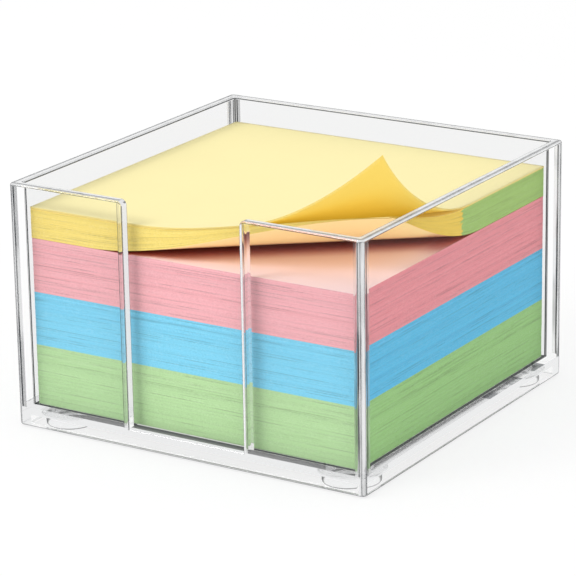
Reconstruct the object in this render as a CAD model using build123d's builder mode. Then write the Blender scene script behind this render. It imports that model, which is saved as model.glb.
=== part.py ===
"""Memo pad holder: a clear moulded open-topped box with a finger notch, on four
small round feet, holding four packs of loose square note paper.

Millimetres, +Z up. The origin is on the desk, below the middle of the box, and the
notched front wall faces -Y. The near right corner (+X, -Y) of the yellow paper lifts
off the pack below, and its uppermost sheets curl up to a point above the rim.
"""

import os

from build123d import *

# --- paper ---------------------------------------------------------------------------
PAPER_SIZE = 90.0          # square note paper
GREEN_THICK = 15.1         # the four packs, from the bottom up
BLUE_THICK = 13.3
PINK_THICK = 13.4
YELLOW_THICK = 7.2
TOP_SHEETS_THICK = 0.4     # the uppermost sheets, which curl by themselves
AIR_GAP = 0.1              # under paper that curls: it never lies quite flat
PAPER_CLEARANCE = 1.0      # paper to the inside of each wall

# --- box -----------------------------------------------------------------------------
WALL = 2.5                 # walls and floor are one moulding
FLOOR_THICK = 2.4
WALL_HEIGHT = 55.8         # inside, from the floor to the rim
CORNER_RADIUS = 1.2        # outside vertical corners
INNER_CORNER_RADIUS = 0.5
RIM_ROUND = 0.6            # rim and notch edges
SKIRT_ROUND = 0.5          # bottom edge of the skirt
NOTCH_WIDTH = 32.0
SILL_ROUND = 1.0           # front edge of the floor in the notch
TAB_CORNER_RADIUS = 1.5    # where the rim turns down into the notch

# --- feet ----------------------------------------------------------------------------
FOOT_DIAMETER = 12.0
FOOT_INSET = 1.0           # foot's edge to the inside of the skirt
FOOT_ROUND = 0.5
FOOT_STAND = 0.4           # how far the feet hold the skirt off the desk
SKIRT_DROP = 2.4           # the skirt's edge, below the underside of the floor

# --- the lifted corner of the yellow paper -------------------------------------------
# A crease is given by where it starts on the front edge and on the right edge,
# each as a distance from the near right corner of the paper.
PAD_FOLD_FRONT = 73.0      # the pack's underside leaves the pink paper here
PAD_FOLD_SIDE = 57.0
PAD_LIFT = 14.0            # underside of the pack at its corner
PAD_PULL = 14.0            # how far the corner draws back as it lifts
PAD_TOP_FRONT = 60.0       # its top starts to rise nearer the corner,
PAD_TOP_SIDE = 50.0
PAD_TOP_LIFT = 7.0         # and rises less, so the corner thins out
CURL_FRONT = 32.0          # the uppermost sheets leave the pack here
CURL_SIDE = 56.0
CURL_LIFT = 14.0           # further rise of their corner
CURL_TURN = 1.5            # and how far it turns inwards
CURL_SAMPLES = 24          # measuring points along each side of a curved face
CURL_TOLERANCE = 0.02      # how near the face passes to them

# --- worked out from the sizes above -------------------------------------------------
inner = PAPER_SIZE + 2 * PAPER_CLEARANCE
outer = inner + 2 * WALL
skirt_bottom = FOOT_STAND
floor_bottom = skirt_bottom + SKIRT_DROP
floor_top = floor_bottom + FLOOR_THICK
rim_top = floor_top + WALL_HEIGHT
green_bottom = floor_top
blue_bottom = green_bottom + GREEN_THICK
pink_bottom = blue_bottom + BLUE_THICK
pink_top = pink_bottom + PINK_THICK
yellow_bottom = pink_top + AIR_GAP
yellow_top = yellow_bottom + YELLOW_THICK
foot_middle = inner / 2 - FOOT_INSET - FOOT_DIAMETER / 2


def write(piece, name):
    """Label the finished piece and write it under its own name."""
    piece.label = name
    export_step(piece, f"parts/{name}.step")
    print(f"{name}: volume {piece.volume:.1f} mm3, valid {piece.is_valid}")


def lies_at(edge, height):
    """True for an edge that lies level at this height."""
    box = edge.bounding_box()
    return abs(box.min.Z - height) < 1e-3 and abs(box.max.Z - height) < 1e-3


def borders_notch(edge):
    """True for the edges of the two tabs that stand beside the notch."""
    middle = edge.center()
    beside = NOTCH_WIDTH / 2 - 1e-3 < abs(middle.X) < NOTCH_WIDTH / 2 + TAB_CORNER_RADIUS
    return beside and middle.Y < -inner / 2 + 1e-3 and middle.Z > floor_top + 1e-3


def settle(value):
    """An S-shaped rise from 0 to 1, level at both ends."""
    held = min(max(value, 0.0), 1.0)
    return held * held * (3 - 2 * held)


def beyond_fold(to_right, to_front, fold_front, fold_side):
    """How far a point lies past a crease: 0 on the crease, 1 at the paper's corner."""
    return min(max(1 - to_right / fold_front - to_front / fold_side, 0.0), 1.0)


def pad_point(to_right, to_front, height, lift, fold_front, fold_side):
    """A point of the lifted pack, from its distances to the right and front edges."""
    past = beyond_fold(to_right, to_front, fold_front, fold_side)
    drawn = beyond_fold(to_right, to_front, PAD_FOLD_FRONT, PAD_FOLD_SIDE)
    return (
        PAPER_SIZE / 2 - to_right,
        to_front - PAPER_SIZE / 2 + PAD_PULL * drawn**3,
        height + lift * settle(past),
    )


def pad_underside(to_right, to_front):
    """The underside of the yellow pack."""
    return pad_point(
        to_right, to_front, yellow_bottom, PAD_LIFT, PAD_FOLD_FRONT, PAD_FOLD_SIDE
    )


def pad_topside(to_right, to_front):
    """The top of the yellow pack, on which the uppermost sheets lie."""
    return pad_point(
        to_right, to_front, yellow_top, PAD_TOP_LIFT, PAD_TOP_FRONT, PAD_TOP_SIDE
    )


def curl_underside(to_right, to_front):
    """The underside of the uppermost sheets: on the pack, then curling off it."""
    x, y, z = pad_topside(to_right, to_front)
    past = beyond_fold(to_right, to_front, CURL_FRONT, CURL_SIDE)
    return x - CURL_TURN * past**3, y, z + AIR_GAP + CURL_LIFT * past**2


def curl_topside(to_right, to_front):
    """The top of the uppermost sheets, one thickness above their underside."""
    x, y, z = curl_underside(to_right, to_front)
    return x, y, z + TOP_SHEETS_THICK


def curved_face(surface):
    """One smooth face through points of the surface, over the whole sheet of paper."""
    steps = [PAPER_SIZE * i / CURL_SAMPLES for i in range(CURL_SAMPLES + 1)]
    points = [[Vector(*surface(right, front)) for front in steps] for right in steps]
    return Face.make_surface_from_array_of_points(points, tol=CURL_TOLERANCE)


def paper_solid(underside, topside):
    """A closed solid between two curved faces, with ruled faces along its cut edges."""
    low, high = curved_face(underside), curved_face(topside)
    sides = []
    for low_edge in low.edges():
        middle = low_edge.position_at(0.5)
        high_edge = min(
            high.edges(),
            key=lambda edge: (edge.position_at(0.5) - middle).length,
        )
        sides.append(Face.make_surface_from_curves(low_edge, high_edge))
    return Solid(Shell([low, high] + sides))


os.makedirs("parts", exist_ok=True)

# The box: one moulding of four walls and a floor raised inside a low skirt.
with BuildPart() as tray:
    with BuildSketch(Plane.XY.offset(skirt_bottom)):
        RectangleRounded(outer, outer, CORNER_RADIUS)
    extrude(amount=rim_top - skirt_bottom)
    with BuildSketch(Plane.XY.offset(floor_top)):
        RectangleRounded(inner, inner, INNER_CORNER_RADIUS)
    extrude(amount=WALL_HEIGHT, mode=Mode.SUBTRACT)
    with BuildSketch(Plane.XY.offset(skirt_bottom)):
        RectangleRounded(inner, inner, INNER_CORNER_RADIUS)
    extrude(amount=SKIRT_DROP, mode=Mode.SUBTRACT)
    # The finger notch goes through the front wall, from the rim to the floor, and the
    # rim turns down into it through a small arc on each tab.
    with BuildSketch(Plane.XZ.offset(inner / 2)):
        with BuildLine():
            side = NOTCH_WIDTH / 2
            shoulder = rim_top - TAB_CORNER_RADIUS
            mouth = side + TAB_CORNER_RADIUS
            Polyline((-side, shoulder), (-side, floor_top), (side, floor_top), (side, shoulder))
            TangentArc((side, shoulder), (mouth, rim_top), tangent=(0, 1))
            Line((mouth, rim_top), (-mouth, rim_top))
            TangentArc((-side, shoulder), (-mouth, rim_top), tangent=(0, 1))
        make_face()
    extrude(amount=WALL, mode=Mode.SUBTRACT)
    sill_edge = (
        tray.edges()
        .filter_by(lambda edge: lies_at(edge, floor_top))
        .sort_by(Axis.Y)[0]
    )
    fillet(sill_edge, radius=SILL_ROUND)
    rim_edges = tray.edges().filter_by(lambda edge: lies_at(edge, rim_top))
    tab_edges = tray.edges().filter_by(borders_notch)
    fillet(rim_edges + tab_edges, radius=RIM_ROUND)
    skirt_edges = tray.edges().filter_by(
        lambda edge: lies_at(edge, skirt_bottom)
        and max(abs(edge.center().X), abs(edge.center().Y)) > inner / 2 + RIM_ROUND
    )
    fillet(skirt_edges, radius=SKIRT_ROUND)
write(tray.part, "tray")

# The feet: clear round pads under the floor, just inside the skirt's corners.
feet = {
    "foot_front_left": (-foot_middle, -foot_middle),
    "foot_front_right": (foot_middle, -foot_middle),
    "foot_back_left": (-foot_middle, foot_middle),
    "foot_back_right": (foot_middle, foot_middle),
}
for foot_name, (foot_x, foot_y) in feet.items():
    with BuildPart() as foot:
        with BuildSketch(Plane(origin=(foot_x, foot_y, 0))):
            Circle(FOOT_DIAMETER / 2)
        extrude(amount=floor_bottom)
        fillet(foot.edges().sort_by(Axis.Z)[0], radius=FOOT_ROUND)
    write(foot.part, foot_name)

# The three flat packs of loose sheets, straight-sided blocks of paper.
packs = {
    "green_paper": (green_bottom, GREEN_THICK),
    "blue_paper": (blue_bottom, BLUE_THICK),
    "pink_paper": (pink_bottom, PINK_THICK),
}
for pack_name, (pack_bottom, pack_thick) in packs.items():
    with BuildPart() as pack:
        with BuildSketch(Plane.XY.offset(pack_bottom)):
            Rectangle(PAPER_SIZE, PAPER_SIZE)
        extrude(amount=pack_thick)
    write(pack.part, pack_name)

# The yellow pack, with its lifted corner, and the uppermost sheets that curl off it.
with BuildPart() as yellow_paper:
    add(paper_solid(pad_underside, pad_topside))
write(yellow_paper.part, "yellow_paper")

with BuildPart() as yellow_top_sheets:
    add(paper_solid(curl_underside, curl_topside))
write(yellow_top_sheets.part, "yellow_top_sheets")

print(f"box {outer:.1f} x {outer:.1f} x {rim_top:.1f} mm, paper stack {yellow_top:.1f} mm high")
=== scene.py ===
# %% [markdown]
# # A clear memo pad holder
#
# The object is a square open-topped box of clear moulded plastic, 97 mm wide and 61 mm high, with a
# finger notch in its front wall. It holds four packs of loose note paper, green, blue, pink and
# yellow. The near corner of the yellow pack lifts, and its uppermost sheets curl up to a point.
#
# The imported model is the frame: it says where every piece goes. Here the box and its feet are shown
# by smooth copies of their own solids in clear plastic, and each pack of paper is made again as
# sheets with a cut edge.

import math

import bmesh
import bpy
import numpy as np
from mathutils import Matrix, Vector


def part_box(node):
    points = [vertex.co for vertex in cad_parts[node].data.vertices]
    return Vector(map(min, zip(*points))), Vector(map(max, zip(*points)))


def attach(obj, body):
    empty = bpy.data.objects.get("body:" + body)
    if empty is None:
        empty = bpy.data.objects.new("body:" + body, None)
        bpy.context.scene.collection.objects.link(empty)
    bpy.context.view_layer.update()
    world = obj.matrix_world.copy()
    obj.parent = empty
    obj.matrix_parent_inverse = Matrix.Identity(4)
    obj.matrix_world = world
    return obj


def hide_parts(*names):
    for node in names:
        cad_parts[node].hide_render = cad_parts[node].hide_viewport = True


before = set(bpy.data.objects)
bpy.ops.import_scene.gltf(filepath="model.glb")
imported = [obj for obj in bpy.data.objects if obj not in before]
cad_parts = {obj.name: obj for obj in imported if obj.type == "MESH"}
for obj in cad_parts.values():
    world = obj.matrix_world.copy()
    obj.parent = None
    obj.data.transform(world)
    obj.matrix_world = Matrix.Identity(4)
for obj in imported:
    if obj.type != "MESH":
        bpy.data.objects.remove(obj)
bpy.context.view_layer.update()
MM = 0.001

# %% [markdown]
# ## The camera
#
# The viewpoint comes from the picture. It could be set by eye, but then nothing would quite line
# up, so the corners of the box and of the paper were used to work out where the lens stood, how
# long it is and how far it leaned. It is a long lens from about 0.7 m, above the near right corner.

# %% Place the camera
CAMERA_AT = (0.3661, -0.5841, 0.25175)
CAMERA_AZIMUTH = math.radians(32.189)
CAMERA_DROP = math.radians(17.917)
CAMERA_ROLL = math.radians(-0.953)
LENS = 185.7
SENSOR_WIDTH = 36.0
NEAR_LIMIT = 0.01


def camera_axes(azimuth, drop, roll):
    """Right, up and forward, from a turn about Z, a tilt down and a lean about the line of sight."""
    forward = np.array([
        -math.sin(azimuth) * math.cos(drop),
        math.cos(azimuth) * math.cos(drop),
        -math.sin(drop),
    ])
    right = np.array([math.cos(azimuth), math.sin(azimuth), 0.0])
    up = np.cross(right, forward)
    leaned_right = math.cos(roll) * right + math.sin(roll) * up
    leaned_up = math.cos(roll) * up - math.sin(roll) * right
    return leaned_right, leaned_up, forward


def pose_matrix(x_axis, y_axis, z_axis, place):
    """The matrix that stands an object at a place, with its own axes along three directions."""
    pose = np.eye(4)
    pose[:3] = np.stack([x_axis, y_axis, z_axis, place], axis=1)
    return Matrix(pose.tolist())


right, up, forward = camera_axes(CAMERA_AZIMUTH, CAMERA_DROP, CAMERA_ROLL)
camera_data = bpy.data.cameras.new("camera")
camera_data.lens = LENS
camera_data.sensor_width = SENSOR_WIDTH
camera_data.clip_start = NEAR_LIMIT
camera = bpy.data.objects.new("camera", camera_data)
camera.matrix_world = pose_matrix(right, up, -forward, CAMERA_AT)
bpy.context.scene.collection.objects.link(camera)
bpy.context.scene.camera = camera
print(f"camera {np.linalg.norm(CAMERA_AT):.3f} m from the middle of the base")

# %% [markdown]
# ## Shader maths as Python
#
# A material's pattern is a sum of small steps: scale this, multiply by that. It could be wired up
# node by node, but that hides the sum. Wrapping a socket in a class with the usual operators lets
# such a pattern be written as one line, and each operator adds its Math node.


# %% A socket that can be added and multiplied
BLACK = (0.0, 0.0, 0.0, 1.0)
WHITE = (1.0, 1.0, 1.0, 1.0)


class Value:
    """A socket in one material's node tree; arithmetic on it adds Math nodes."""

    def __init__(self, shader, socket):
        self.shader, self.socket = shader, socket

    def __add__(self, other):
        return self.shader.math("ADD", self, other)

    def __sub__(self, other):
        return self.shader.math("SUBTRACT", self, other)

    def __rsub__(self, other):
        return self.shader.math("SUBTRACT", other, self)

    def __mul__(self, other):
        return self.shader.math("MULTIPLY", self, other)

    def __truediv__(self, other):
        return self.shader.math("DIVIDE", self, other)

    __radd__, __rmul__ = __add__, __mul__


class Shader:
    """One material, or the world, and the nodes that make it."""

    def __init__(self, owner):
        owner.use_nodes = True
        self.owner, self.nodes, self.links = owner, owner.node_tree.nodes, owner.node_tree.links
        self.nodes.clear()

    def set(self, socket, value):
        """Links a value to a socket, or types a number or colour into it; None leaves it alone."""
        if isinstance(value, Value):
            self.links.new(value.socket, socket)
        elif value is not None:
            socket.default_value = value

    def node(self, kind, settings=None, *values, **named):
        """Adds a node: its settings first, then its sockets by place or by name."""
        made = self.nodes.new(kind)
        for key, value in (settings or {}).items():
            setattr(made, key, value)
        for place, value in enumerate(values):
            self.set(made.inputs[place], value)
        for name, value in named.items():
            self.set(made.inputs[name.replace("_", " ")], value)
        return [Value(self, output) for output in made.outputs if output.enabled]

    def outputs(self, kind):
        """Adds a node that only reads something, and gives its outputs by name."""
        return {output.name: Value(self, output) for output in self.nodes.new(kind).outputs}

    def math(self, operation, *values):
        """A Math node on sockets and plain numbers."""
        return self.node("ShaderNodeMath", {"operation": operation}, *values)[0]

    def clamp(self, value):
        """The value held between 0 and 1."""
        return self.node("ShaderNodeClamp", {}, value)[0]

    def ramp(self, value, low, high):
        """0 up to low, 1 from high, smooth between."""
        settings = {"interpolation_type": "SMOOTHSTEP"}
        mapped = self.node("ShaderNodeMapRange", settings, Value=value, From_Min=low, From_Max=high)
        return mapped[0]

    def parts(self, vector, unsigned=False):
        """The x, y and z of a vector, without their signs if asked."""
        if unsigned:
            vector = self.node("ShaderNodeVectorMath", {"operation": "ABSOLUTE"}, vector)[0]
        return self.node("ShaderNodeSeparateXYZ", {}, vector)

    def position(self, scale=(1.0, 1.0, 1.0)):
        """Object coordinates in metres, stretched."""
        place = self.outputs("ShaderNodeTexCoord")["Object"]
        return self.node("ShaderNodeVectorMath", {"operation": "MULTIPLY"}, place, scale)[0]

    def normal(self, unsigned=False):
        """The x, y and z of the surface's normal, on the piece's own axes."""
        return self.parts(self.outputs("ShaderNodeTexCoord")["Normal"], unsigned)

    def turned_away(self):
        """0 where the surface faces the eye, up to 1 where it is seen edge on."""
        return self.outputs("ShaderNodeLayerWeight")["Facing"]

    def noise(self, vector, scale=1.0, detail=2.0, rough=0.5):
        """Cloudy noise around a half."""
        return self.node(
            "ShaderNodeTexNoise", {}, Vector=vector, Scale=scale, Detail=detail, Roughness=rough
        )[0]

    def bump(self, height, strength, depth):
        """A normal that tilts as if the surface had this height."""
        return self.node("ShaderNodeBump", {}, Strength=strength, Distance=depth, Height=height)[0]

    def blend(self, factor, one, two):
        """A colour between one and two."""
        made = self.nodes.new("ShaderNodeMix")
        made.data_type = "RGBA"
        for place, value in ((0, factor), (6, one), (7, two)):
            self.set(made.inputs[place], value)
        return Value(self, made.outputs[2])

    def mix(self, factor, one, two):
        """A finish between one and two."""
        return self.node("ShaderNodeMixShader", {}, factor, one, two)[0]

    def matt(self, colour):
        """A plain matt finish."""
        return self.node("ShaderNodeBsdfDiffuse", {}, Color=colour)[0]

    def thin(self, tint):
        """A finish that lets light straight on, and tints it."""
        return self.node("ShaderNodeBsdfTransparent", {}, Color=tint)[0]

    def ray_kinds(self):
        """1 or 0 for each kind of ray that may be looking at this surface, and its depth."""
        return self.outputs("ShaderNodeLightPath")

    def seen_by_lens(self):
        """1 for what the lens sees, straight, through the plastic or mirrored in it."""
        ray = self.ray_kinds()
        return self.clamp(ray["Is Camera Ray"] + ray["Is Transmission Ray"] + ray["Is Glossy Ray"])

    def finish(self, shader, kind="ShaderNodeOutputMaterial"):
        """Joins the finish to the output, and gives the material or world."""
        self.node(kind, {}, shader)
        return self.owner


def srgb(red, green, blue):
    """A colour read off the picture, 0 to 255, as the linear colour that a shader wants."""
    values = np.array([red, green, blue]) / 255
    linear = np.where(values <= 0.04045, values / 12.92, ((values + 0.055) / 1.055) ** 2.4)
    return (*linear.tolist(), 1.0)


print("shader helpers ready")

# %% [markdown]
# ## Surfaces from formulas
#
# Every new mesh here is a grid: a formula gives one point for each pair of parameters, numpy works
# out the whole array at once, and the quads join neighbours in the grid. Paper could be modelled by
# hand as well, but a formula can be checked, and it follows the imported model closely.


# %% Turn point grids into meshes
def grid_quads(rows, columns, start=0, flip=False):
    """The quads of a rows by columns grid of points that begins at index start."""
    corner = start + np.arange((rows - 1) * columns).reshape(rows - 1, columns)[:, :-1].ravel()
    quads = np.stack([corner, corner + 1, corner + columns + 1, corner + columns], axis=1)
    return quads[:, ::-1] if flip else quads


def mesh_object(name, points, quads, materials, slots=None, smooth=None, uv=None):
    """A mesh object at the origin, with a material slot and a smooth flag for each quad."""
    mesh = bpy.data.meshes.new(name)
    mesh.from_pydata(points.tolist(), [], quads.tolist())
    for material in materials:
        mesh.materials.append(material)
    if slots is not None:
        mesh.polygons.foreach_set("material_index", np.asarray(slots, np.int32))
    if smooth is not None:
        mesh.polygons.foreach_set("use_smooth", np.asarray(smooth, bool))
    if uv is not None:
        layer = mesh.uv_layers.new(name="layers")
        corners = np.zeros(len(mesh.loops), np.int32)
        mesh.loops.foreach_get("vertex_index", corners)
        layer.data.foreach_set("uv", uv[corners].astype(np.float32).ravel())
    mesh.validate()
    mesh.update()
    made = bpy.data.objects.new(name, mesh)
    bpy.context.scene.collection.objects.link(made)
    print(f"{name}: {len(points)} points, {len(quads)} quads")
    return made


# %% [markdown]
# ## Paper
#
# A pack of paper has two looks. Its faces are smooth, pale and matt. Its cut sides are deeper in
# colour, because light sinks in between the sheets, and are ruled with fine lines where one sheet
# ends and the next begins. A picture of paper edges could do this, but the lines would smear when
# seen close. So each colour gets two materials, and the lines come from each sheet's own height.


# %% Paper finishes
PAPER_HALF = 45.0 * MM
PAPER_SIZE = 2 * PAPER_HALF
YELLOW_DEEP = 7.2 * MM
SIDE_SHADE_POWER = 1.5  # painted shade: the left and right cut sides are darker, the colour raised to this power
LINE_PITCH = 0.21 * MM
DASHES = 60.0  # per metre of side
SPECKS = 2600.0  # per metre of side
DASH_ROW = 7.3  # how far the dashes move on from one sheet to the next
SPECK_ROW = 3.1
SHEET_SHADE = 0.08
GAP_SHADE = 0.17
SPECK_SHADE = 0.09
SPECK_LIGHT = 0.10
GRAIN_DEPTH = 0.05 * MM
FIBRES = 900.0
CLOUDS = 60.0
CREASE_REACH = 6.0 * MM
PATCH_START = 3.3 * MM
PATCH_RAGGED = 6.0 * MM
PATCH_BLUR = 0.1 * MM
PATCH_SIDE = (44.0 * MM, 44.6 * MM)
PATCH_GREEN = srgb(173, 209, 118)


def cut_edge(name, colour, layered=False, patch=None):
    """The cut side of a pack: each sheet has its own tone, and here and there a gap shows dark.

    A pack that bends is layered: its UV map tells how far round and how high up a point lies.
    """
    shader = Shader(bpy.data.materials.new(name))
    if layered:
        u, v, _ = shader.parts(shader.outputs("ShaderNodeTexCoord")["UV"])
        run, height = PAPER_SIZE * u, YELLOW_DEEP * v
    else:
        x, y, height = shader.parts(shader.position())
        run = x + y
    sheet = shader.math("FLOOR", height / LINE_PITCH)
    chance = shader.node("ShaderNodeTexWhiteNoise", {"noise_dimensions": "1D"}, W=sheet)[0]
    dash = shader.node("ShaderNodeCombineXYZ", {}, DASHES * run, DASH_ROW * sheet)[0]
    speck = shader.node("ShaderNodeCombineXYZ", {}, SPECKS * run, SPECK_ROW * sheet)[0]
    gap = shader.ramp(chance, 0.45, 0.75) * shader.ramp(shader.noise(dash), 0.50, 0.62)
    grain = shader.noise(speck, detail=1.0)
    dark_specks = shader.ramp(grain, 0.45, 0.75)
    shade = 1 - SHEET_SHADE * chance - GAP_SHADE * gap - SPECK_SHADE * dark_specks
    light = SPECK_LIGHT * shader.ramp(grain, 0.5, 0.25)
    # Painted shade: the left and right cut sides take a darker, deeper copy of the colour.
    shaded_side = shader.ramp(shader.normal(unsigned=True)[0], 0.5, 0.6)
    shaded_side_colour = (*(channel**SIDE_SHADE_POWER for channel in colour[:3]), 1.0)
    tint = shader.blend(shaded_side, colour, shaded_side_colour)
    if patch is not None:
        tint = patch(shader, tint)
    tone = shader.blend(light, shader.blend(shade, BLACK, tint), WHITE)
    normal = shader.bump(grain, 0.1, GRAIN_DEPTH)
    lit = shader.node(
        "ShaderNodeBsdfPrincipled", {}, Base_Color=tone, Roughness=0.85, Normal=normal
    )[0]
    return shader.finish(lit)


def paper_face(name, colour, glow=BLACK, crease=None):
    """The flat face of a sheet: matt, with the faint cloud of the paper's fibres.

    The glow is painted light: an emission that stands for light that soaks through a lifted sheet.
    Where another sheet lies close over this one, light goes to and fro between them and takes on
    their colour: that is the crease, painted shade laid on where little round the face is open.
    """
    shader = Shader(bpy.data.materials.new(name))
    fibres = shader.noise(shader.position(), scale=FIBRES, detail=4.0, rough=0.7)
    cloud = shader.noise(shader.position(), scale=CLOUDS, detail=3.0)
    tone = shader.blend(0.96 + 0.04 * cloud + 0.03 * fibres, BLACK, colour)
    # Painted shade: where ambient occlusion finds little open round the face, the colour turns to the
    # crease colour and the painted glow fades.
    if crease is not None:
        openness = shader.node(
            "ShaderNodeAmbientOcclusion", {"samples": 8}, Distance=CREASE_REACH
        )[1]
        lifted = shader.ramp(openness, 0.02, 0.38)
        tone = shader.blend(lifted, crease, tone)
        glow = shader.blend(lifted, BLACK, glow)
    # The glow goes in as emission: painted light, with no lamp behind it.
    lit = shader.node(
        "ShaderNodeBsdfPrincipled", {},
        Base_Color=tone, Roughness=0.8, Normal=shader.bump(fibres, 0.12, GRAIN_DEPTH),
        Emission_Color=glow, Emission_Strength=1.0,
    )[0]
    return shader.finish(lit)


def green_behind(shader, colour):
    """The right-hand cut side of the yellow pack turns green from its middle to the back."""
    x, y, _ = shader.parts(shader.position())
    ragged = PATCH_RAGGED * (shader.noise(shader.position((200.0, 200.0, 1500.0))) - 0.5)
    behind = shader.ramp(y + ragged, PATCH_START - PATCH_BLUR, PATCH_START + PATCH_BLUR)
    return shader.blend(behind * shader.ramp(x, *PATCH_SIDE), colour, PATCH_GREEN)


GREEN_EDGE = cut_edge("green_cut_edge", srgb(192, 228, 170))
GREEN_FACE = paper_face("green_sheet", srgb(206, 234, 188))
BLUE_EDGE = cut_edge("blue_cut_edge", srgb(135, 218, 246))
BLUE_FACE = paper_face("blue_sheet", srgb(160, 224, 248))
PINK_EDGE = cut_edge("pink_cut_edge", srgb(248, 184, 190))
# The pink face takes a painted red-brown crease shade where the yellow pack lies close above it.
PINK_FACE = paper_face("pink_sheet", srgb(252, 226, 232), crease=srgb(205, 90, 60))
YELLOW_EDGE = cut_edge("yellow_cut_edge", srgb(252, 228, 127), layered=True, patch=green_behind)
YELLOW_FACE = paper_face("yellow_sheet", srgb(252, 240, 178))
# Painted light on the undersides: a deeper gold than the top face and a glow, both standing for light
# through the paper; the pack's underside also takes the painted crease shade.
YELLOW_UNDER = paper_face(
    "yellow_pack_underside", srgb(250, 222, 150), (0.2, 0.16, 0.09, 1.0), srgb(185, 75, 20)
)
CURL_UNDER = paper_face("curled_sheet_underside", srgb(242, 208, 102), (0.17, 0.13, 0.01, 1.0))
CURL_EDGE = paper_face("yellow_sheet_rim", srgb(250, 230, 145))
print("paper finishes ready, from", GREEN_EDGE.name, "to", CURL_EDGE.name)

# %% [markdown]
# ## The flat packs
#
# A pack is really over a hundred thin squares, none quite in line with the next. That is how
# it is made here: a square ring for each sheet, shifted and turned by a hair, and the rings joined
# up into one closed skin. The ledges between the sheets then catch the light by themselves. A hair
# of air stays under each pack, as under real paper: the light inside a clear floor turns back at
# air, but would end in paper that touched it. A plain block with a bumpy finish would be simpler,
# but its outline would stay ruler straight.

# %% Stack square sheets
SHEET_THICK = 0.1 * MM
STACK_INSET = 0.12 * MM
AIR = 0.03 * MM
SHEET_SHIFT = 0.015 * MM
SHEET_TURN = 0.0002


def sheet_offsets(count, seed):
    """How far each sheet is out of line, in x, y and turn: a jitter and a slow drift."""
    chance = np.random.default_rng(seed)
    jitter = chance.normal(0.0, 1.0, (count, 3))
    drift = np.cumsum(chance.normal(0.0, 0.25, (count, 3)), axis=0)
    drift -= np.linspace(drift[0], drift[-1], count)
    proud = np.clip(jitter + drift, -3.0, 3.0)
    return proud * (SHEET_SHIFT, SHEET_SHIFT, SHEET_TURN)


def stack_of_sheets(name, low, high, finishes, seed):
    """Square rings from low to high, two for each sheet, closed by a face above and below."""
    count = max(2, round((high - low) / SHEET_THICK))
    offset = np.repeat(sheet_offsets(count, seed), 2, axis=0)
    level = np.linspace(low, high, count + 1)
    heights = np.stack([level[:-1], level[1:]], axis=1).ravel()
    corner = np.array([[-1, -1], [1, -1], [1, 1], [-1, 1]]) * (PAPER_HALF - STACK_INSET)
    x = corner[:, 0] + offset[:, :1] - offset[:, 2:] * corner[:, 1]
    y = corner[:, 1] + offset[:, 1:2] + offset[:, 2:] * corner[:, 0]
    z = np.broadcast_to(heights[:, None], x.shape)
    points = np.stack([x, y, z], axis=-1).reshape(-1, 3)
    ring = 4 * np.arange(2 * count - 1)[:, None]
    side = np.arange(4)[None]
    quads = np.stack(
        [ring + side, ring + (side + 1) % 4, ring + 4 + (side + 1) % 4, ring + 4 + side], axis=-1
    ).reshape(-1, 4)
    last = 4 * (2 * count - 1)
    caps = np.array([[3, 2, 1, 0], [last, last + 1, last + 2, last + 3]])
    slots = np.concatenate([np.zeros(len(quads)), [1, 1]])
    return mesh_object(name, points, np.concatenate([quads, caps]), finishes, slots)


packs = (
    ("green", "green_pack", [GREEN_EDGE, GREEN_FACE], 11),
    ("blue", "blue_pack", [BLUE_EDGE, BLUE_FACE], 12),
    ("pink", "pink_pack", [PINK_EDGE, PINK_FACE], 13),
)
for colour, body, finishes, seed in packs:
    node = f"{colour}_paper"
    low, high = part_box(node)
    stack = stack_of_sheets(f"{colour}_sheets", low.z + AIR, high.z, finishes, seed)
    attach(stack, body)
    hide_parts(node)

# %% [markdown]
# ## The lifted corner
#
# The pack's near corner bends up past a crease. A point's distance past the crease, from 0 on it to
# 1 at the corner, drives everything: an S-shaped rise for the pack, a square law for the sheets that
# curl off it, and a cube for how far the corner draws back. A cloth simulation would bend paper too,
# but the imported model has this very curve, and the sheets have to stay within it.

# %% The curved sheets as formulas
PAD_FOLD = (73.0 * MM, 57.0 * MM)
PAD_LIFT = 14.0 * MM
PAD_PULL = 14.0 * MM
PAD_TOP_FOLD = (60.0 * MM, 50.0 * MM)
PAD_TOP_LIFT = 7.0 * MM
CURL_FOLD = (32.0 * MM, 56.0 * MM)
CURL_LIFT = 14.0 * MM
CURL_TURN = 1.5 * MM
AIR_GAP = 0.1 * MM


def settle(value):
    """An S-shaped rise from 0 to 1, level at both ends."""
    return value * value * (3 - 2 * value)


def beyond_fold(to_right, to_front, fold):
    """How far points lie past a crease: 0 on the crease, 1 at the paper's corner."""
    return np.clip(1 - to_right / fold[0] - to_front / fold[1], 0.0, 1.0)


def pack_surface(to_right, to_front, height):
    """One level of the lifted pack; height is 0 for its underside and 1 for its top."""
    drawn = beyond_fold(to_right, to_front, PAD_FOLD)
    under = YELLOW_LOW + PAD_LIFT * settle(drawn)
    over = YELLOW_HIGH + PAD_TOP_LIFT * settle(beyond_fold(to_right, to_front, PAD_TOP_FOLD))
    x = PAPER_HALF - to_right
    y = to_front - PAPER_HALF + PAD_PULL * drawn**3
    z = under + (over - under) * height
    return np.stack(np.broadcast_arrays(x, y, z), axis=-1)


def curl_surface(to_right, to_front, above, share):
    """A sheet on top of the pack that curls off it; share is how much of the curl it takes."""
    place = pack_surface(to_right, to_front, 1.0)
    past = beyond_fold(to_right, to_front, CURL_FOLD)
    place[..., 0] -= CURL_TURN * past**3
    place[..., 2] += above + share * CURL_LIFT * past**2
    return place


YELLOW_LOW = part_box("yellow_paper")[0].z
TOP_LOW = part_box("yellow_top_sheets")[0].z
YELLOW_HIGH = TOP_LOW - AIR_GAP
print(f"yellow pack {YELLOW_LOW / MM:.1f} to {YELLOW_HIGH / MM:.1f} mm")

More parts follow.
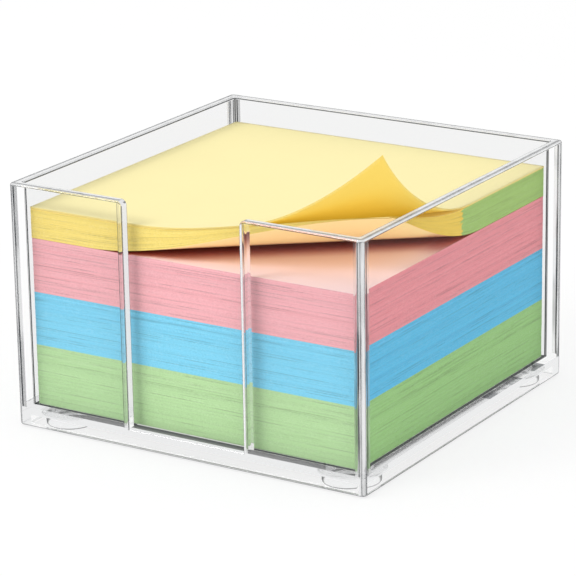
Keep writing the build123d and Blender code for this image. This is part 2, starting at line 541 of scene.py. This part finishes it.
# %% [markdown]
# The yellow pack is a skin too: its cut sides are rings round the sheets' edges, one pair of rings
# for each sheet, and its underside and top are grids that share their border with the end rings.

# %% Build the yellow pack
SIDE_POINTS = 61
SIDE_INSET = 0.1 * MM
YELLOW_SHEETS = 60


def border(count):
    """Distances to the right and front edges, once round the sheet from its far left corner."""
    run = np.linspace(PAPER_SIZE, 0.0, count)[:-1]
    zero, full = np.zeros(count - 1), np.full(count - 1, PAPER_SIZE)
    to_right = np.concatenate([run, zero, PAPER_SIZE - run, full])
    to_front = np.concatenate([zero, PAPER_SIZE - run, full, run])
    return to_right, to_front


def grid_border(count):
    """The indices of a count by count grid's border, in the order that border() goes."""
    index = np.arange(count * count).reshape(count, count)
    front, right_side = index[::-1, 0][:-1], index[0, :-1]
    back, left = index[:-1, -1], index[-1, ::-1][:-1]
    return np.concatenate([front, right_side, back, left])


def lifted_pack(name, sheets, seed):
    """The pack's rings and its two grids, welded along the border."""
    to_right, to_front = border(SIDE_POINTS)
    level = np.linspace(0.0, 1.0, sheets + 1)
    heights = np.stack([level[:-1], level[1:]], axis=1).ravel()[:, None]
    offset = np.repeat(sheet_offsets(sheets, seed), 2, axis=0)
    rings = pack_surface(to_right[None], to_front[None], heights)
    rings[..., 0] += offset[:, :1] - SIDE_INSET * np.sign(rings[..., 0])
    rings[..., 1] += offset[:, 1:2]
    ring_count, around = rings.shape[:2]
    here = np.arange(ring_count - 1)[:, None] * around
    above = here + around
    point = np.arange(around)[None]
    following = (point + 1) % around
    sides = np.stack([here + point, here + following, above + following, above + point], axis=-1)
    steps = np.linspace(0.0, PAPER_SIZE, SIDE_POINTS)
    grid_right, grid_front = np.meshgrid(steps, steps, indexing="ij")
    points = [rings.reshape(-1, 3)]
    quads = [sides.reshape(-1, 4)]
    slots = [np.zeros(len(quads[0]))]
    for height, ring in ((0.0, 0), (1.0, ring_count - 1)):
        cap = pack_surface(grid_right, grid_front, height).reshape(-1, 3)
        cap[grid_border(SIDE_POINTS)] = rings[ring]
        start = sum(len(block) for block in points)
        quads.append(grid_quads(SIDE_POINTS, SIDE_POINTS, start, flip=height == 0.0))
        slots.append(np.full(len(quads[-1]), 2 if height == 0.0 else 1))
        points.append(cap)
    points = np.concatenate(points)
    run = np.tile(np.arange(around) / (SIDE_POINTS - 1), ring_count)
    layer = np.repeat(heights.ravel(), around)
    uv = np.zeros((len(points), 2))
    uv[: ring_count * around] = np.stack([run, layer], axis=1)
    slots = np.concatenate(slots)
    return mesh_object(
        name, points, np.concatenate(quads), [YELLOW_EDGE, YELLOW_FACE, YELLOW_UNDER],
        slots, slots > 0, uv,
    )


yellow_pack = lifted_pack("yellow_sheets", YELLOW_SHEETS, 14)
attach(yellow_pack, "yellow_pack")
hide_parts("yellow_paper")

# %% [markdown]
# The uppermost sheets are separate: each is a thin closed sheet of its own, and the ones below curl
# a little less, so that their edges fan out towards the point.

# %% Build the curled sheets
CURLED_SHEETS = 3
CURL_POINTS = 91
CURLED_THICK = 0.09 * MM
CURLED_PITCH = 0.13 * MM
FAN = 0.012  # how much less of the curl each sheet takes than the one above


def curled_sheet(name, number):
    """Two grids, one sheet thickness apart, joined round their border."""
    steps = np.linspace(0.0, PAPER_SIZE, CURL_POINTS)
    to_right, to_front = np.meshgrid(steps, steps, indexing="ij")
    share = 1.0 - FAN * (CURLED_SHEETS - 1 - number)
    above = AIR_GAP + number * CURLED_PITCH
    low = curl_surface(to_right, to_front, above, share).reshape(-1, 3)
    high = low + (0.0, 0.0, CURLED_THICK)
    edge = grid_border(CURL_POINTS)
    following = np.roll(edge, -1)
    size = len(low)
    rim = np.stack([edge, following, following + size, edge + size], axis=1)
    quads = np.concatenate([
        grid_quads(CURL_POINTS, CURL_POINTS, 0, flip=True),
        grid_quads(CURL_POINTS, CURL_POINTS, size),
        rim,
    ])
    faces = (CURL_POINTS - 1) ** 2
    slots = np.repeat([2, 1, 0], [faces, faces, len(rim)])
    return mesh_object(
        name, np.concatenate([low, high]), quads,
        [CURL_EDGE, YELLOW_FACE, CURL_UNDER], slots, slots > 0,
    )


for number in range(CURLED_SHEETS):
    sheet = curled_sheet(f"curled_sheet_{number + 1}", number)
    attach(sheet, "top_sheets")
    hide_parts("yellow_top_sheets")

# %% [markdown]
# ## Clear plastic
#
# The box is one clear moulding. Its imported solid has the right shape, but is loose triangles, which
# would shade in facets, so a merged copy stands for it. Its faces fall in two kinds. The panes are
# the large flats of the walls and the floor. The edges are all the rest: rims, corners, the notch's
# sides and the skirt's edge. A flat face keeps its own normal, and a rounded one blends with its
# neighbours, so that a reflection runs round a corner without a break.


# %% Merge a copy of a clear piece
ALIKE = math.cos(math.radians(35))
FLAT = 0.9999  # a face is flat when its normal lies this much along one axis
FLAT_WINS = 1e6
WELD = 0.001 * MM


def corner_pairs(vertex_of):
    """For each two face corners that meet at one vertex, the indices of both."""
    order = np.argsort(vertex_of, kind="stable")
    meeting = np.bincount(vertex_of)
    first = np.concatenate([[0], np.cumsum(meeting)[:-1]])
    size = meeting[vertex_of[order]]
    one = np.repeat(order, size)
    start = np.repeat(first[vertex_of[order]], size)
    turn = np.arange(len(one)) - np.repeat(np.cumsum(size) - size, size)
    return one, order[start + turn]


def smooth_normals(mesh, flat):
    """Corner normals: a flat face keeps its own, a rounded one blends with neighbours alike.

    At a vertex where a rounded face meets a flat one the flat wins, so the shading is even.
    """
    count = len(mesh.polygons)
    normal, area = np.zeros(count * 3), np.zeros(count)
    mesh.polygons.foreach_get("normal", normal)
    mesh.polygons.foreach_get("area", area)
    normal = normal.reshape(-1, 3)
    vertex_of = np.zeros(len(mesh.loops), np.int32)
    mesh.loops.foreach_get("vertex_index", vertex_of)
    face_of = np.repeat(np.arange(count), 3)
    one, other = corner_pairs(vertex_of)
    mine, theirs = face_of[one], face_of[other]
    alike = np.sum(normal[mine] * normal[theirs], axis=1) > ALIKE
    weight = alike * area[theirs] * np.where(flat[theirs], FLAT_WINS, 1.0)
    blended = np.zeros((len(vertex_of), 3))
    np.add.at(blended, one, weight[:, None] * normal[theirs])
    blended = np.where(flat[face_of][:, None], normal[face_of], blended)
    return blended / np.linalg.norm(blended, axis=1, keepdims=True)


def merged_copy(name, node, finishes, panes):
    """The node's triangles joined into one skin; panes says which faces take the first finish."""
    mesh = node.data.copy()
    mesh.name = name
    joined = bmesh.new()
    joined.from_mesh(mesh)
    bmesh.ops.remove_doubles(joined, verts=joined.verts, dist=WELD)
    joined.to_mesh(mesh)
    joined.free()
    for layer in ("sharp_face", "sharp_edge", "custom_normal"):
        if layer in mesh.attributes:
            mesh.attributes.remove(mesh.attributes[layer])
    mesh.materials.clear()
    for finish in finishes:
        mesh.materials.append(finish)
    centre, normal = np.zeros(len(mesh.polygons) * 3), np.zeros(len(mesh.polygons) * 3)
    mesh.polygons.foreach_get("center", centre)
    mesh.polygons.foreach_get("normal", normal)
    centre, normal = centre.reshape(-1, 3), normal.reshape(-1, 3)
    flat = np.abs(normal).max(axis=1) > FLAT
    slots = np.where(flat & panes(centre, normal), 0, len(finishes) - 1)
    mesh.polygons.foreach_set("material_index", slots.astype(np.int32))
    mesh.polygons.foreach_set("use_smooth", np.ones(len(mesh.polygons), bool))
    mesh.update()
    mesh.normals_split_custom_set(smooth_normals(mesh, flat).tolist())
    made = bpy.data.objects.new(name, mesh)
    bpy.context.scene.collection.objects.link(made)
    print(f"{name}: {len(mesh.polygons)} triangles, {int((slots == 0).sum())} in panes")
    return made


# %% [markdown]
# Clear moulded plastic bends light as glass does, and yet its walls all but vanish. Glass all over
# is the simple way, but its walls then tend to come out grey and blotchy at a few samples. So
# a pane lets the eye straight on where it has air behind it, which is called a window here, with
# a faint mirror image. In its corners and its base it bends light for real, and so do the edges,
# which glow and darken in streaks, partly painted. Light caught there for many turns ends in a
# painted grey glow, the studio's grey.
#
# Real edges also mirror the dark of the room in thin lines along rims, corners and the notch, and
# the margin of the floor mirrors the shade under the paper. Both take more turns of light than a
# render finds, so they are painted reflections, drawn for the eye alone. To lamplight a pane is
# nearly clear and an upright edge is dark, so it casts a soft shadow.

# %% Sizes of the box
BOX_WALL = 2.5 * MM
BOX_FLOOR = 2.4 * MM
SKIRT_DROP = 2.4 * MM
OUTER_ROUND = 1.2 * MM
INNER_ROUND = 0.5 * MM
NOTCH_HALF = 16.0 * MM
TAB_EDGE = 1.4 * MM  # how far the rounded edge beside the notch reaches into the tab
box_low, box_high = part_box("tray")
outer_face = box_high.x
inner_face = outer_face - BOX_WALL
wall_middle = (inner_face + outer_face) / 2
floor_under = box_low.z + SKIRT_DROP
floor_top = floor_under + BOX_FLOOR
print(f"box {2 * outer_face / MM:.1f} mm wide outside, {2 * inner_face / MM:.1f} mm inside")

# %% Clear plastic finishes
PLASTIC_IOR = 1.5
STUDIO_GREY = (0.83, 0.835, 0.84, 1.0)
# LINE_DARK and FOOT_DARK colour the painted dark reflections on the edges and feet.
LINE_DARK = (0.05, 0.055, 0.06, 1.0)
FOOT_DARK = (0.12, 0.13, 0.14, 1.0)
EDGE_TINT = (0.1, 0.11, 0.12, 1.0)
RIM_TINT = (0.75, 0.755, 0.76, 1.0)
SKIRT_TINT = (0.6, 0.605, 0.61, 1.0)
FOOT_TINT = (0.95, 0.953, 0.957, 1.0)
PANE_TINT = (0.988, 0.989, 0.99, 1.0)
LONG_PATH = 5.0  # turns of light before it counts as caught
PANE_GLOSS = 0.2
PANE_WAVES, EDGE_WAVES = 70.0, 140.0
PANE_RIPPLE, EDGE_RIPPLE = 0.15, 0.12
WAVE_DEPTH = 0.3 * MM
HAIR = 0.05 * MM  # puts a face that lies right on a limit on the solid side of it
BLUR = 0.01 * MM
# How dark the painted reflections are: lines, margins and glints drawn for the eye alone.
LEDGE_SHADE = 0.93
FAR_WALL_SHADE = 0.09
LINE_SHADE = 0.85
OUTER_SHADE, INNER_SHADE = 0.6, 0.9  # of the lines on panes, beside the upright corners
SOLID_SHADE, STREAK_SHADE = 0.12, 0.3  # of the plastic between them
TAB_SHADE, TAB_LINE_SHADE = 0.15, 0.55
BESIDE_SHADE = 0.65  # of the edges themselves, at both sides of a corner
NOTCH_SHADE = 0.85
MARGIN_SHADE, GLINT_SHADE = 0.6, 0.12  # along the rim
SKIRT_SHADE = 0.8
FOOT_SHADE = 0.7
NOTCH_LEDGE = 0.45 * MM  # the ledge shows this much later in the notch


def bending(shader, normal):
    """Plastic that bends light, with an end for light that is caught in it."""
    glass = shader.node(
        "ShaderNodeBsdfPrincipled", {},
        Base_Color=WHITE, Roughness=0.0, IOR=PLASTIC_IOR, Transmission_Weight=1.0, Normal=normal,
    )[0]
    # Painted light: after this many turns the plastic shows a flat grey glow.
    studio = shader.node("ShaderNodeEmission", {}, Color=STUDIO_GREY, Strength=1.0)[0]
    return shader.mix(
        shader.math("GREATER_THAN", shader.ray_kinds()["Ray Depth"], LONG_PATH), glass, studio
    )


def plan(shader):
    """|x| and z of a point, and the lesser and the greater of |x| and |y|."""
    x, y, z = shader.parts(shader.position(), unsigned=True)
    return x, z, shader.math("MINIMUM", x, y), shader.math("MAXIMUM", x, y)


def step(shader, value, at):
    """0 below a level and 1 above it."""
    return shader.ramp(value, at - BLUR, at + BLUR)


def ahead_of(shader, level):
    """1 nearer the front than a level of y, 0 behind it."""
    return 1 - step(shader, shader.parts(shader.position())[1], level)


def window(shader):
    """1 where a wall has air behind it, 0 where it runs into another wall, the floor or the notch."""
    x, z, least, _ = plan(shader)
    by_notch = ahead_of(shader, HAIR - inner_face) * (1 - step(shader, x, NOTCH_HALF + TAB_EDGE))
    return (1 - step(shader, least, inner_face)) * step(shader, z, floor_top + HAIR) * (1 - by_notch)


def streaks(shader):
    """Upright streaks, as long as a finger is wide, for painted reflections in the moulded corners.
    """
    drawn = shader.noise(shader.position((1.0, 1.0, 0.09)), scale=650.0)
    return shader.ramp(drawn, 0.42, 0.62)


def corner_lines(shader):
    """How dark the painted reflections are on the flats beside the upright corners, and over the
    solid plastic in them.
    """
    x, z, least, most = plan(shader)
    in_front = ahead_of(shader, HAIR - inner_face)
    outside = step(shader, most, wall_middle)
    corner, inner_corner = outer_face - OUTER_ROUND, inner_face - INNER_ROUND
    outer_line = shader.ramp(least, corner - 0.5 * MM, corner - 0.35 * MM)
    inner_line = shader.ramp(least, inner_corner - 0.45 * MM, inner_corner - 0.3 * MM)
    solid = step(shader, least, inner_face) * (SOLID_SHADE + STREAK_SHADE * streaks(shader))
    edge = NOTCH_HALF + TAB_EDGE
    on_tab = (1 - step(shader, x, edge)) * in_front
    tab = TAB_LINE_SHADE * step(shader, x, edge - 0.15 * MM) * on_tab + TAB_SHADE * on_tab
    line = outside * (OUTER_SHADE * outer_line + solid + tab)
    line = line + (1 - outside) * INNER_SHADE * inner_line
    return line * step(shader, z, floor_top)


def ledge(shader, inside):
    """How dark the margin of the floor is painted: a painted reflection of the shade under the paper
    at a low angle.

    The upper face is seen from above. Its underside is seen through the wall, from inside the
    plastic, where the normal that a shader reads points back up at the eye.
    """
    level = shader.ramp(shader.normal()[2], 0.4, 0.6)
    low_angle = shader.ramp(shader.turned_away(), 0.35, 0.55)
    x, _, _, reach = plan(shader)
    in_notch = (1 - step(shader, x, NOTCH_HALF)) * ahead_of(shader, 0.0)
    above = shader.ramp(reach - (PAPER_HALF + NOTCH_LEDGE * in_notch), -0.2 * MM, 0.0)
    above = above * (1 - 0.3 * shader.ramp(reach, PAPER_HALF, outer_face)) * low_angle
    under = 1 - 0.25 * shader.ramp(reach, inner_face - 8.0 * MM, inner_face - 3.5 * MM)
    under = under * (1 - 0.8 * shader.ramp(reach, inner_face - 2.4 * MM, inner_face - 1.2 * MM))
    return LEDGE_SHADE * level * (above * (1 - inside) + under * inside)


def clear_pane(name):
    """A large flat of the box."""
    shader = Shader(bpy.data.materials.new(name))
    ray, clear = shader.ray_kinds(), window(shader)
    inside = shader.outputs("ShaderNodeNewGeometry")["Backfacing"]
    waves = shader.noise(shader.position(), scale=PANE_WAVES, detail=1.0)
    glass = bending(shader, shader.bump(waves, PANE_RIPPLE, WAVE_DEPTH))
    mirror = shader.node("ShaderNodeBsdfGlossy", {}, Color=WHITE, Roughness=0.03)[0]
    gloss = PANE_GLOSS * shader.node("ShaderNodeFresnel", {}, IOR=PLASTIC_IOR)[0] * (1 - inside)
    straight = shader.mix(gloss, shader.thin(PANE_TINT), mirror)
    straight = shader.mix(clear, shader.thin(SKIRT_TINT), straight)
    straight_on = ray["Is Camera Ray"] * clear + ray["Is Shadow Ray"] + ray["Is Diffuse Ray"]
    body = shader.mix(straight_on, glass, straight)
    # Painted shade and reflections for the eye: a wall seen from inside darkens a little, and the
    # ledge and corner lines are drawn dark.
    seen_inside = (1 - step(shader, plan(shader)[3], wall_middle)) * (1 - inside)
    drawn = ledge(shader, inside) + corner_lines(shader) + FAR_WALL_SHADE * clear * seen_inside
    drawn = shader.clamp(drawn * ray["Is Camera Ray"])
    return shader.finish(shader.mix(drawn, body, shader.matt(LINE_DARK)))


def rounded(shader, low, high):
    """1 on rounded edges and 0 on flats, from how far the normal leans from all three axes."""
    x, y, z = shader.normal(unsigned=True)
    largest = shader.math("MAXIMUM", shader.math("MAXIMUM", x, y), z)
    return 1 - shader.ramp(largest, low, high)


def dark_lines(shader):
    """How dark an edge's painted reflections are: lines along the rim, the upright corners, the notch
    and the skirt.
    """
    level = shader.normal(unsigned=True)[2]
    _, height, least, most = plan(shader)
    outside = step(shader, most, wall_middle)
    upright = 1 - shader.ramp(level, 0.1, 0.2)
    in_wall = shader.ramp(least, inner_face, inner_face + 0.2 * MM)
    by_notch = 1 - shader.ramp(least, NOTCH_HALF + 1.0 * MM, NOTCH_HALF + 2.0 * MM)
    beside = shader.ramp(rounded(shader, 0.90, 0.999), 0.0, 0.1) * (1 - rounded(shader, 0.84, 0.96))
    outer = upright * in_wall * (BESIDE_SHADE * beside + STREAK_SHADE * streaks(shader))
    inner = upright * (1 - in_wall) * (1 - by_notch) * rounded(shader, 0.95, 0.99)
    notch = NOTCH_SHADE * upright * by_notch * outside * rounded(shader, 0.80, 0.92)
    on_rim = shader.ramp(height, box_high.z - 1.0 * MM, box_high.z - 0.7 * MM) * (1 - upright)
    line = shader.ramp(level, 0.05, 0.12) * (1 - shader.ramp(level + 0.3 * outside, 0.55, 0.75))
    margin = shader.ramp(most - wall_middle, 0.0, 0.3 * MM) * shader.ramp(level, 0.9, 0.99)
    # Painted glints: dark flecks of reflection along the rim.
    glints = shader.ramp(shader.noise(shader.position(), scale=240.0), 0.48, 0.68)
    rim = on_rim * (line + MARGIN_SHADE * margin + GLINT_SHADE * glints)
    low_down = 1 - shader.ramp(height, floor_under, floor_top)
    skirt = (1 - upright) * low_down * rounded(shader, 0.86, 0.96)
    return outer + inner + notch + rim + SKIRT_SHADE * skirt


def clear_edge(name):
    """A rim, corner or other edge of the box."""
    shader = Shader(bpy.data.materials.new(name))
    ray = shader.ray_kinds()
    # Painted reflection: a rounded edge seen edge on gets a dark outline, as do the drawn lines.
    grazing = shader.ramp(shader.turned_away(), 0.52, 0.72) * rounded(shader, 0.97, 0.995)
    line = shader.clamp(shader.math("MAXIMUM", dark_lines(shader), grazing))
    waves = shader.noise(shader.position(), scale=EDGE_WAVES)
    glass = bending(shader, shader.bump(waves, EDGE_RIPPLE, WAVE_DEPTH))
    glass = shader.mix(LINE_SHADE * line * ray["Is Camera Ray"], glass, shader.matt(LINE_DARK))
    level = shader.ramp(shader.normal()[2], 0.05, 0.2)
    shaded = shader.mix(level, shader.thin(EDGE_TINT), shader.thin(RIM_TINT))
    return shader.finish(shader.mix(ray["Is Shadow Ray"] + ray["Is Diffuse Ray"], glass, shaded))


def clear_foot(name):
    """A soft clear foot: only its outline shows, as a painted dark reflection."""
    shader = Shader(bpy.data.materials.new(name))
    level = shader.normal(unsigned=True)[2]
    grazing = shader.ramp(shader.turned_away(), 0.55, 0.85)
    bottom_ring = shader.ramp(level, 0.1, 0.3)
    outline = shader.math("MAXIMUM", bottom_ring, grazing) * (1 - shader.ramp(level, 0.8, 0.95))
    shine = shader.node("ShaderNodeBsdfGlossy", {}, Color=WHITE, Roughness=0.15)[0]
    gloss = 0.5 * shader.node("ShaderNodeFresnel", {}, IOR=PLASTIC_IOR)[0]
    body = shader.mix(gloss, shader.thin(FOOT_TINT), shine)
    # Painted dark outline, for the lens alone.
    drawn = FOOT_SHADE * outline * shader.seen_by_lens()
    return shader.finish(shader.mix(drawn, body, shader.matt(FOOT_DARK)))


CLEAR_PANE = clear_pane("clear_plastic_pane")
CLEAR_EDGE = clear_edge("clear_plastic_edge")
CLEAR_FOOT = clear_foot("clear_soft_plastic")
print("plastic finishes:", CLEAR_PANE.name, CLEAR_EDGE.name, CLEAR_FOOT.name)

# %% [markdown]
# The box and its four feet are merged copies of their solids. Which faces are panes follows from
# where they lie: a pane is in the plane of a wall's or the floor's two faces. A foot is small and
# soft, and shows only as a fine outline through the skirt, so one finish does for all of it.

# %% Finish the box and its feet
PLANE_REACH = 0.01 * MM


def box_panes(centre, normal):
    """True for faces in the planes of the walls and the floor."""
    across = np.abs(np.sum(centre * normal, axis=1))
    upright = np.abs(normal[:, 2]) < 0.5
    near = np.minimum(np.abs(across - outer_face), np.abs(across - inner_face))
    level = np.minimum(np.abs(across - floor_top), np.abs(across - floor_under))
    return np.where(upright, near, level) < PLANE_REACH


def no_panes(centre, normal):
    """A foot has none."""
    return np.zeros(len(centre), bool)


clear_pieces = [("clear_box", "tray", [CLEAR_PANE, CLEAR_EDGE], box_panes)]
for place in ("front_left", "front_right", "back_left", "back_right"):
    clear_pieces.append((f"clear_foot_{place}", f"foot_{place}", [CLEAR_FOOT], no_panes))
for name, node, finishes, panes in clear_pieces:
    clear = merged_copy(name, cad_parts[node], finishes, panes)
    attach(clear, "tray")
    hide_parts(node)
    "clear_plastic" if node == "tray" else "clear_foot"

# %% [markdown]
# ## Floor, world and lamps
#
# The picture has a plain white ground with the faintest of shadows. More light would whiten it, but
# bleach the paper too. So the floor is a pale matt sheet, and only what the lens sees of it,
# straight or through the plastic, is lifted to white. The world is plain for lighting. The lens
# sees it white, and through bent light it sees a studio: white low down, a dark gap above that,
# and white again overhead. That gap is what gives clear edges their grey streaks.

# %% Floor
FLOOR_HALF = 3.0
FLOOR_GREY = (0.9, 0.9, 0.9, 1.0)
FLOOR_GLOW = 1.03
FLOOR_LIFT = 0.78


def white_floor():
    """A matt floor; seen by the lens it gains a little light of its own, so that it turns white."""
    shader = Shader(bpy.data.materials.new("white_floor"))
    glow = shader.node("ShaderNodeEmission", {}, Color=WHITE, Strength=FLOOR_GLOW)[0]
    lift = FLOOR_LIFT * shader.seen_by_lens()
    return shader.finish(shader.mix(lift, shader.matt(FLOOR_GREY), glow))


floor_points = np.array([[-1, -1, 0], [1, -1, 0], [1, 1, 0], [-1, 1, 0]]) * FLOOR_HALF
floor = mesh_object("floor", floor_points, np.array([[0, 1, 2, 3]]), [white_floor()])

# %% World
WORLD_LIGHT = 0.82
STUDIO_GAP = (0.30, 0.31, 0.32, 1.0)


def background(sky, colour, strength=1.0):
    """Light from all round, of one colour or of one that changes with direction."""
    return sky.node("ShaderNodeBackground", {}, Color=colour, Strength=strength)[0]


def studio(world):
    """White to the lens, a banded studio to bent light, and plain to all other light."""
    sky = Shader(world)
    height = sky.parts(sky.outputs("ShaderNodeTexCoord")["Generated"])[2]
    gap = sky.ramp(height, 0.34, 0.5) - sky.ramp(height, 0.75, 0.9)
    banded = background(sky, sky.blend(gap, WHITE, STUDIO_GAP))
    around = sky.mix(sky.seen_by_lens(), background(sky, WHITE, WORLD_LIGHT), banded)
    seen = sky.mix(sky.ray_kinds()["Is Camera Ray"], around, background(sky, WHITE))
    return sky.finish(seen, "ShaderNodeOutputWorld")


bpy.context.scene.world = studio(bpy.data.worlds.new("studio"))
print("world:", bpy.context.scene.world.name)

# %% [markdown]
# One large soft lamp at the left front lights the fronts of the packs and the top, and a weak one
# at the right keeps the side from going dull. A small or strong lamp would draw a hard shadow,
# which the picture doesn't have. Light may turn many times inside the plastic before it is cut
# off, and the view is Standard, so that colours come out as they are written.


# %% Lamps
LAMP_TARGET = (0.0, 0.0, 0.03)
LIGHT_BOUNCES = 16
THROUGH_BOUNCES = 32


def soft_lamp(name, place, size, power):
    """A square lamp that faces the middle of the box."""
    data = bpy.data.lights.new(name, "AREA")
    data.shape, data.size, data.energy = "SQUARE", size, power
    away = np.array(place) - LAMP_TARGET
    away = away / np.linalg.norm(away)
    side = np.cross((0.0, 0.0, 1.0), away)
    side = side / np.linalg.norm(side)
    lamp = bpy.data.objects.new(name, data)
    lamp.matrix_world = pose_matrix(side, np.cross(away, side), away, place)
    bpy.context.scene.collection.objects.link(lamp)
    print(f"{name}: {power} W, {size} m square")
    return lamp


soft_lamp("key_lamp", (-0.7, -1.0, 1.1), 0.6, 9.0)
soft_lamp("fill_lamp", (1.1, -0.2, 0.6), 0.8, 1.4)
bpy.context.scene.view_settings.view_transform = "Standard"
cycles = bpy.context.scene.cycles
cycles.max_bounces = cycles.glossy_bounces = cycles.transmission_bounces = LIGHT_BOUNCES
cycles.transparent_max_bounces = THROUGH_BOUNCES
